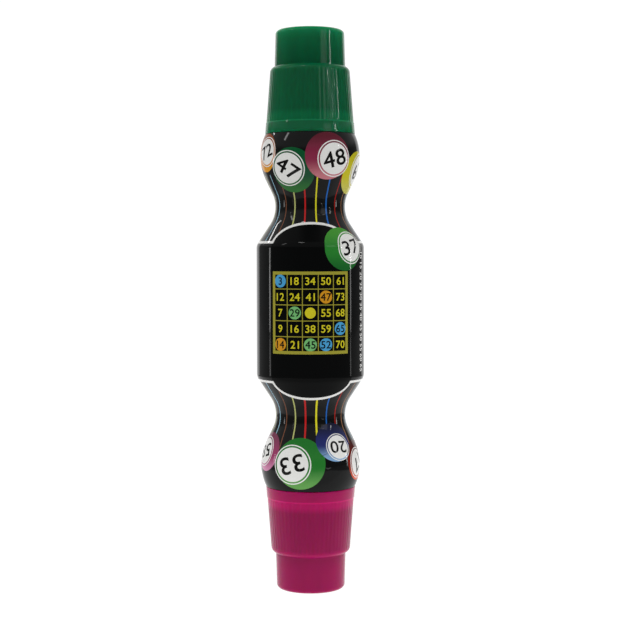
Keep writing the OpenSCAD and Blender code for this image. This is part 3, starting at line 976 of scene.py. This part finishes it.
def cap_outline():
    """The cap's section in (radius, height): up its outside, then down its inside."""
    step_u, end_u = STEP_U - STEP_EDGE, HALF - END_EDGE
    step_r = skirt_r(step_u) - STEP_EDGE
    stop = math.degrees(math.acos((SMALL_R - step_r) / STEP_EDGE))
    floor_u, roof_u = STEP_U - END_T, HALF - END_T
    bore_r, bead_top_u = small_r(roof_u) - WALL, BEAD_U + BEAD_H
    outside = [
        (MOUTH_R - WALL, MOUTH_U),
        (MOUTH_R - BAND_EDGE, MOUTH_U),
        (MOUTH_R, MOUTH_U + BAND_EDGE),
        (BAND_TOP_R, BAND_TOP_U - BAND_EDGE),
        (BAND_TOP_R - BAND_EDGE / 3, BAND_TOP_U - BAND_EDGE / 3),
        (BAND_TOP_R - BAND_EDGE, BAND_TOP_U),
    ]
    outside += [(skirt_r(u), u) for u in np.linspace(BAND_TOP_U, step_u, 4)[:-1]]
    outside += rounding(step_r, step_u, STEP_EDGE, stop, 10)
    outside += rounding(small_r(end_u) - END_EDGE, end_u, END_EDGE, 90, 9)
    inside = [
        (0, HALF),
        (0, roof_u),
        (bore_r - ROOF_FILL, roof_u),
        (bore_r, roof_u - ROOF_FILL),
        (SMALL_R - WALL, floor_u),
        (FIN_R, floor_u),
        (FIN_R, floor_u - FIN_H),
        (FIN_R + FIN_T, floor_u - FIN_H),
        (FIN_R + FIN_T, floor_u),
        (skirt_r(floor_u) - WALL - CORNER_FILL, floor_u),
        (skirt_r(floor_u) - WALL, floor_u - CORNER_FILL),
        (skirt_r(bead_top_u) - WALL, bead_top_u + BEAD_RAMP),
        (BEAD_R, bead_top_u),
        (BEAD_R, BEAD_U + BEAD_RAMP),
        (skirt_r(BEAD_U) - WALL, BEAD_U - BEAD_RAMP),
    ]
    return outside + inside


def fluted(points):
    """Draws the skirt's outside in along soft flutes. The rest of the cap stays round."""
    wavy = []
    for x, y, z in points:
        r, u = math.hypot(x, y) / MM, abs(z / MM - HALF)
        wall = skirt_r(u)
        if u > BAND_TOP_U - SLACK and wall - WALL / 2 < r < wall + SLACK:
            wave = 0.5 - 0.5 * math.cos(FLUTES * math.atan2(x, -y))
            share = min(r, wall - FLUTE_DEPTH * wave) / r
            x, y = share * x, share * y
        wavy.append((x, y, z))
    return wavy


for name, end, finish, slot in (
    ("green_cap", 1, GREEN_PP, "cap_green"),
    ("magenta_cap", -1, MAGENTA_PP, "cap_magenta"),
):
    points, faces = turned(at_end(cap_outline(), end), 8 * FLUTES, closed=True)
    moulding = smooth_mesh(name + "_moulding", fluted(points), faces, [finish], name, slot)
    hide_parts(name)
    print(name, len(moulding.data.polygons), "faces")

# %% [markdown]
# ## Bottles and white fittings
#
# Under the sleeve and caps, the bottles are natural blow-moulded polyethylene,
# which is milky and a little waxy. The collar, housing, valve and retainer are
# white moulded polypropylene. They show when a cap is pulled off.

# %% White plastics
GRAIN_DEPTH = 0.015


def white_plastic(name, hex_colour, roughness, grain_mm):
    """Moulded plastic that scatters a little light: soft, pale and faintly uneven."""
    finish, tree, shader = new_finish(
        name,
        {
            "Roughness": roughness,
            "IOR": 1.5,
            "Subsurface Weight": 0.3,
            "Subsurface Radius": (1.0, 0.95, 0.85),
            "Subsurface Scale": 1.0 * MM,
        },
    )
    place = add(tree, "ShaderNodeTexCoord").outputs["Object"]
    grain = add(
        tree,
        "ShaderNodeTexNoise",
        {"Vector": place, "Scale": 1 / (grain_mm * MM), "Detail": 3.0},
    )
    pale = tuple(0.9 * c + 0.1 for c in linear(hex_colour))
    stops = [(0.0, linear(hex_colour, share=0.94)), (1.0, pale)]
    ramp = add(tree, "ShaderNodeValToRGB", {"Fac": grain.outputs["Fac"]}, stops)
    tree.links.new(ramp.outputs["Color"], shader.inputs["Base Color"])
    bump = add(
        tree,
        "ShaderNodeBump",
        {"Height": grain.outputs["Fac"], "Distance": GRAIN_DEPTH * MM, "Strength": 1.0},
    )
    tree.links.new(bump.outputs["Normal"], shader.inputs["Normal"])
    return finish


NATURAL_PE = white_plastic("natural_polyethylene", "#dcd9cc", 0.42, 1.5)
WHITE_PP = white_plastic("white_polypropylene", "#e4e4df", 0.3, 0.8)
for end in ("green", "magenta"):
    dress(end + "_bottle", NATURAL_PE)
    for part in ("tip_housing", "tip_collar", "valve", "spring_retainer"):
        dress(f"{end}_{part}", WHITE_PP)
dress("bottle_joiner", WHITE_PP)
print("white plastics dressed")

# %% [markdown]
# ## Tips
#
# A dauber's tip is a pad of open-cell foam under a cloth of fine woven
# polyester, both soaked in ink. The cloth is stretched over the pad like the
# skin of a drum and goes down into the collar. When the tip is pressed, the
# cloth moves with the valve; the real foam flattens, but this pad keeps its shape.

# %% Cloth and foam finishes
# in mm: distances between threads and between foam cells, and how deep they look
THREAD, THREAD_DEPTH, FOAM_CELL, CELL_DEPTH = 0.5, 0.08, 0.6, 0.25


def ink_cloth(name, hex_colour):
    """Plain weave: two sets of ridges that cross, a thread apart, in the flat cloth's map."""
    finish, tree, shader = new_finish(
        name,
        {"Roughness": 0.62, "IOR": 1.45, "Sheen Weight": 0.3, "Sheen Roughness": 0.5},
    )
    cloth_map = add(tree, "ShaderNodeUVMap", uv_map="cloth")
    split = add(tree, "ShaderNodeSeparateXYZ", {0: cloth_map.outputs["UV"]})
    waves = []
    for side in ("X", "Y"):
        turn = add(
            tree,
            "ShaderNodeMath",
            {0: split.outputs[side], 1: 2 * math.pi / (THREAD * MM)},
            operation="MULTIPLY",
        )
        waves.append(add(tree, "ShaderNodeMath", {0: turn.outputs[0]}, operation="SINE"))
    weave = add(
        tree,
        "ShaderNodeMath",
        {0: waves[0].outputs[0], 1: waves[1].outputs[0]},
        operation="MULTIPLY",
    )
    height = add(
        tree,
        "ShaderNodeMapRange",
        {"Value": weave.outputs[0], "From Min": -1.0, "From Max": 1.0},
    )
    # painted shade: the weave's low places are painted darker than the threads' tops
    stops = [(0.0, linear(hex_colour, share=0.55)), (1.0, linear(hex_colour))]
    ramp = add(tree, "ShaderNodeValToRGB", {"Fac": height.outputs["Result"]}, stops)
    tree.links.new(ramp.outputs["Color"], shader.inputs["Base Color"])
    bump = add(
        tree,
        "ShaderNodeBump",
        {"Height": height.outputs["Result"], "Distance": THREAD_DEPTH * MM, "Strength": 0.8},
    )
    tree.links.new(bump.outputs["Normal"], shader.inputs["Normal"])
    return finish


def ink_foam(name, hex_colour):
    """Cut open-cell foam: matt, with painted shade that darkens each cell towards its hollow
    middle.
    """
    finish, tree, shader = new_finish(name, {"Roughness": 0.85, "IOR": 1.4})
    place = add(tree, "ShaderNodeTexCoord").outputs["Object"]
    cells = add(
        tree, "ShaderNodeTexVoronoi", {"Vector": place, "Scale": 1 / (FOAM_CELL * MM)}
    )
    # painted shade: each cell is painted darker towards its hollow middle
    stops = [(0.0, linear(hex_colour, share=0.35)), (1.0, linear(hex_colour))]
    ramp = add(tree, "ShaderNodeValToRGB", {"Fac": cells.outputs["Distance"]}, stops)
    tree.links.new(ramp.outputs["Color"], shader.inputs["Base Color"])
    bump = add(
        tree,
        "ShaderNodeBump",
        {"Height": cells.outputs["Distance"], "Distance": CELL_DEPTH * MM, "Strength": 1.0},
    )
    tree.links.new(bump.outputs["Normal"], shader.inputs["Normal"])
    return finish


print("thread spacing", THREAD, "mm, foam cells", FOAM_CELL, "mm")

# %% Cloth covers and foam pads
TIP_R, TIP_FACE_U, TIP_EDGE, TIP_CROWN = 9.85, 92.6, 2.4, 0.9
HEM_U, HEM_EDGE, CLOTH = 79.6, 0.12, 0.4
TOWER_U, FOAM_INSET = 82.0, 0.6  # the foam's foot, and its place inside the cloth's outside
HOLLOW_R, HOLLOW_U = 7.3, 83.55


def dome(inset, foot_u):
    """Outline of the tip from its foot to the middle of its crowned face."""
    r, edge = TIP_R - inset, TIP_EDGE - inset
    crown_r = (r * r + TIP_CROWN**2) / (2 * TIP_CROWN)
    face_u = TIP_FACE_U - inset

    def crown(x):
        """Height of the crowned face."""
        return face_u - crown_r + math.sqrt(crown_r**2 - x * x)

    points = [(r, foot_u + (face_u - TIP_CROWN - edge - foot_u) * i / 12) for i in range(12)]
    points += rounding(r - edge, crown(r - edge) - edge, edge, 86, 12)
    points += [(x, crown(x)) for x in np.linspace(r - edge, 0, 10)[1:]]
    return points


for name, end, cloth_colour, foam_colour in (
    ("green", 1, "#0d8a4a", "#1ca35f"),
    ("magenta", -1, "#c01a66", "#d0387f"),
):
    outer, inner = dome(0.0, HEM_U), dome(CLOTH, HEM_U)
    hem = [(TIP_R - CLOTH / 2, HEM_U - HEM_EDGE)]
    cloth_finish = ink_cloth(name + "_ink_cloth", cloth_colour)
    points, faces = turned(at_end(outer + inner[::-1] + hem, end), 120, closed=True)
    cover = smooth_mesh(
        name + "_cloth_cover", points, faces, [cloth_finish], name + "_tip", "cloth_" + name
    )
    # the cloth's map: how far each point is from the face's middle, along the cloth
    spots = np.array([v.co for v in cover.data.vertices])
    out = np.hypot(spots[:, 0], spots[:, 1])
    down = np.abs(HALF * MM + end * TIP_FACE_U * MM - spots[:, 2])
    along = out + np.clip(down - TIP_CROWN * MM, 0, None)
    write_map(cover, "cloth", spots[:, :2] / np.maximum(out, 1e-9)[:, None] * along[:, None])
    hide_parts(name + "_tip_cover")

    hollow = [(0, HOLLOW_U), (HOLLOW_R, HOLLOW_U), (HOLLOW_R, TOWER_U)]
    pad_outline = hollow + dome(FOAM_INSET, TOWER_U)
    foam_finish = ink_foam(name + "_ink_foam", foam_colour)
    points, faces = turned(at_end(pad_outline, end), 96)
    pad = smooth_mesh(
        name + "_foam_pad", points, faces, [foam_finish], "dauber", "foam_" + name
    )
    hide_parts(name + "_tip_foam")
    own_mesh(pad)
    print(name, "tip: cloth", len(cover.data.polygons), "faces, foam", len(pad.data.polygons))

# %% [markdown]
# ## Valve springs
#
# Under each valve, a small coil of stainless wire pushes it shut. A helix is
# swept as a tube here, because the CAD one has only six sides to its wire. The
# real coil shortens when the tip is pressed; this one keeps its length.

# %% Springs
WIRE_R, COIL_R, TURNS = 0.35, 3.1, 5
WIRE_MARK = 0.3333  # coarser than real drawing marks, so that it shows
SPRING_FOOT_U, SPRING_TOP_U = 63.8, 70.6


def steel_wire():
    """Drawn stainless steel: bright, with fine marks from the die."""
    finish, tree, shader = new_finish(
        "drawn_stainless_wire", {"Metallic": 1.0, "Roughness": 0.28}
    )
    place = add(tree, "ShaderNodeTexCoord").outputs["Object"]
    marks = add(tree, "ShaderNodeTexNoise", {"Vector": place, "Scale": 1 / (WIRE_MARK * MM)})
    stops = [(0.0, linear("#a9abae")), (1.0, linear("#cfd1d3"))]
    ramp = add(tree, "ShaderNodeValToRGB", {"Fac": marks.outputs["Fac"]}, stops)
    tree.links.new(ramp.outputs["Color"], shader.inputs["Base Color"])
    return finish


def coil_points(steps=60 * TURNS, sides=12):
    """Points and faces, in mm, of a helix of round wire with both its ends closed."""
    points, faces = [], []
    for i in range(steps + 1):
        t = i / steps
        u = SPRING_FOOT_U + (SPRING_TOP_U - SPRING_FOOT_U) * t
        a = 2 * math.pi * TURNS * t
        for k in range(sides):
            b = 2 * math.pi * k / sides
            r = COIL_R + WIRE_R * math.cos(b)
            points.append((r * math.cos(a), r * math.sin(a), u + WIRE_R * math.sin(b)))
    for i in range(steps):
        for k in range(sides):
            p, q = i * sides + k, i * sides + (k + 1) % sides
            faces.append((p, q, q + sides, p + sides))
    faces.append(tuple(range(sides))[::-1])
    faces.append(tuple(range(steps * sides, (steps + 1) * sides)))
    return points, faces


wire = steel_wire()
for name, end in (("green", 1), ("magenta", -1)):
    points, faces = coil_points()
    points = [(x * MM, end * y * MM, (HALF + end * u) * MM) for x, y, u in points]
    spring = smooth_mesh(name + "_coil", points, faces, [wire], "dauber", "spring_steel")
    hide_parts(name + "_valve_spring")
    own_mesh(spring)
print("springs: 2, each of", TURNS, "turns")

# %% [markdown]
# ## The studio
#
# The picture was taken on white, with a bright backdrop straight behind, so a
# white edge runs down both sides of the glossy film. Narrow strips stand at
# either side, dimmer at their feet, and draw the thin lines on the barrel. A
# small softbox overhead lights the shoulders, and a wide, weak one high on the
# right lifts that side. A lamp as thin as a rod beside it draws the line down
# the caps. High on the left are a tall softbox and, further back, a tube. The
# table is an opal sheet, lit from below. The room is dim at the dauber's own
# height, which keeps the black film black.

# %% Floor and backdrop
def stage_sheet(name, corners, finish):
    mesh = bpy.data.meshes.new(name)
    mesh.from_pydata(corners, [], [tuple(range(len(corners)))])
    mesh.materials.append(finish)
    piece = new_object(name, mesh)


# places in metres
BACKDROP_X, BACKDROP_Y, BACKDROP_TOP, BACKDROP_GLOW = 0.47, 0.55, 0.9, 1.05
FLOOR_HALF = 1.5
FAR_GLOW, NEAR_GLOW = 0.2, 0.85
# how much the table glows, from 1 m in front of the object (0) to its middle (1)
TABLE_GLOW = [(0.72, FAR_GLOW), (0.745, NEAR_GLOW), (0.935, NEAR_GLOW), (0.948, 1.0)]
FADE_FROM, FADE_TO = 0.24, 0.31


def grey(level):
    return (level, level, level, 1.0)


def pale_floor():
    """An opal table, lit from below: white under and behind the object, dim far in front."""
    finish, tree, shader = new_finish(
        "opal_table",
        {"Base Color": linear("#404040"), "Roughness": 0.9, "Emission Color": grey(1.0)},
    )
    place = add(tree, "ShaderNodeTexCoord").outputs["Object"]
    split = add(tree, "ShaderNodeSeparateXYZ", {0: place})
    along = add(
        tree,
        "ShaderNodeMapRange",
        {"Value": split.outputs["Y"], "From Min": -1.0, "From Max": 0.0},
    )
    stops = [(at, grey(glow)) for at, glow in TABLE_GLOW]
    ramp = add(tree, "ShaderNodeValToRGB", {"Fac": along.outputs["Result"]}, stops)
    # and it fades off to both sides
    aside = add(tree, "ShaderNodeMath", {0: split.outputs["X"]}, operation="ABSOLUTE")
    fade = add(
        tree,
        "ShaderNodeMapRange",
        {
            "Value": aside.outputs[0],
            "From Min": FADE_FROM,
            "From Max": FADE_TO,
            "To Min": 1.0,
            "To Max": FAR_GLOW,
        },
        interpolation_type="SMOOTHSTEP",
    )
    least = add(
        tree,
        "ShaderNodeMath",
        {0: ramp.outputs["Color"], 1: fade.outputs["Result"]},
        operation="MINIMUM",
    )
    tree.links.new(least.outputs[0], shader.inputs["Emission Strength"])
    return finish


x, y, top = BACKDROP_X, BACKDROP_Y, BACKDROP_TOP
lit = {"Color": grey(1.0), "Strength": BACKDROP_GLOW}
stage_sheet(
    "backdrop",
    [(-x, y, 0.0), (x, y, 0.0), (x, y, top), (-x, y, top)],
    new_finish("lit_backdrop", lit, "ShaderNodeEmission")[0],
)
x = FLOOR_HALF
stage_sheet("floor", [(-x, -x, 0.0), (x, -x, 0.0), (x, x, 0.0), (-x, x, 0.0)], pale_floor())
print("floor and backdrop set")

# %% Lights
def softbox(name, place, aim, width, height, radiance):
    """An area light whose face has that radiance, turned towards a point."""
    data = bpy.data.lights.new(name, "AREA")
    data.shape, data.size, data.size_y = "RECTANGLE", width, height
    data.energy = radiance * math.pi * width * height
    lamp = new_object(name, data)
    lamp.location = place
    way = np.array(aim, float) - np.array(place, float)
    way /= np.linalg.norm(way)
    side = np.cross(way, (0, 0, 1))
    side /= np.linalg.norm(side)
    up = np.cross(side, way)
    lamp.rotation_mode = "QUATERNION"
    turn = Matrix([[side[i], up[i], -way[i]] for i in range(3)])
    lamp.rotation_quaternion = turn.to_quaternion()


def around(degrees, distance, z):
    """A place at an angle from the front, towards the right, at a distance and height."""
    a = math.radians(degrees)
    return (distance * math.sin(a), -distance * math.cos(a), z)


LAMPS = [
    # name, place, aim, width, height, radiance
    ("overhead", around(-28.7, 0.373, 0.75), (0, 0, 0.16), 0.12, 0.03, 30.0),
    ("high_right", around(46, 0.6, 0.34), (0, 0, 0.2), 0.22, 0.2, 1.5),
    ("right_edge", around(69, 0.6, 0.33), (0, 0, 0.2), 0.007, 0.16, 80.0),
    ("high_left", around(-67, 0.5, 0.52), (0, 0, 0.16), 0.05, 0.17, 11.0),
    ("strip_left", around(-94.5, 0.6, 0.12), (0, 0, 0.12), 0.03, 0.12, 10.0),
    ("strip_left_low", around(-94.5, 0.6, 0.03), (0, 0, 0.03), 0.03, 0.05, 4.0),
    ("left_tube", (-0.43, 0.27, 0.45), (0, 0, 0.15), 0.2, 0.012, 25.0),
    ("strip_right", around(94.5, 0.6, 0.12), (0, 0, 0.12), 0.03, 0.12, 16.0),
    ("strip_right_low", around(94.5, 0.6, 0.03), (0, 0, 0.03), 0.03, 0.05, 7.0),
]
for lamp in LAMPS:
    softbox(*lamp)
print("lights:", len(LAMPS))

# %% The room
# limits on how high and how far to the right a ray goes, for a ray of length 1
WALL_FROM, WALL_TO, ROOF_FROM, ROOF_TO = 0.17, 0.34, 0.88, 0.92
LEFT_FROM, LEFT_TO = -1.0, -0.4
WALL_GLOW, LEFT_GLOW, ROOM_GLOW = 0.6, 0.3, 0.18
world = bpy.data.worlds.new("room")
bpy.context.scene.world = world
world.use_nodes = True
room = world.node_tree
room.nodes.clear()
ray = add(room, "ShaderNodeTexCoord").outputs["Generated"]
split = add(room, "ShaderNodeSeparateXYZ", {0: ray})
tilt = add(room, "ShaderNodeMath", {0: split.outputs["Z"]}, operation="ABSOLUTE").outputs[0]
# the walls are lit, but not level with the object and not straight above it
ends = {"From Min": WALL_FROM, "From Max": WALL_TO}
rise = add(
    room, "ShaderNodeMapRange", {"Value": tilt, **ends}, interpolation_type="SMOOTHSTEP"
)
ends = {"From Min": ROOF_FROM, "From Max": ROOF_TO, "To Min": WALL_GLOW, "To Max": 0.0}
fall = add(room, "ShaderNodeMapRange", {"Value": tilt, **ends})
ends = {"From Min": LEFT_FROM, "From Max": LEFT_TO, "To Min": LEFT_GLOW, "To Max": ROOM_GLOW}
side = add(room, "ShaderNodeMapRange", {"Value": split.outputs["X"], **ends})
level = add(
    room,
    "ShaderNodeMath",
    {0: rise.outputs["Result"], 1: fall.outputs["Result"], 2: side.outputs["Result"]},
    operation="MULTIPLY_ADD",
)
soft = add(room, "ShaderNodeBackground", {"Strength": level.outputs[0]})
add(room, "ShaderNodeOutputWorld", {"Surface": soft.outputs[0]})
bpy.context.scene.view_settings.view_transform = "Standard"
print("room set")
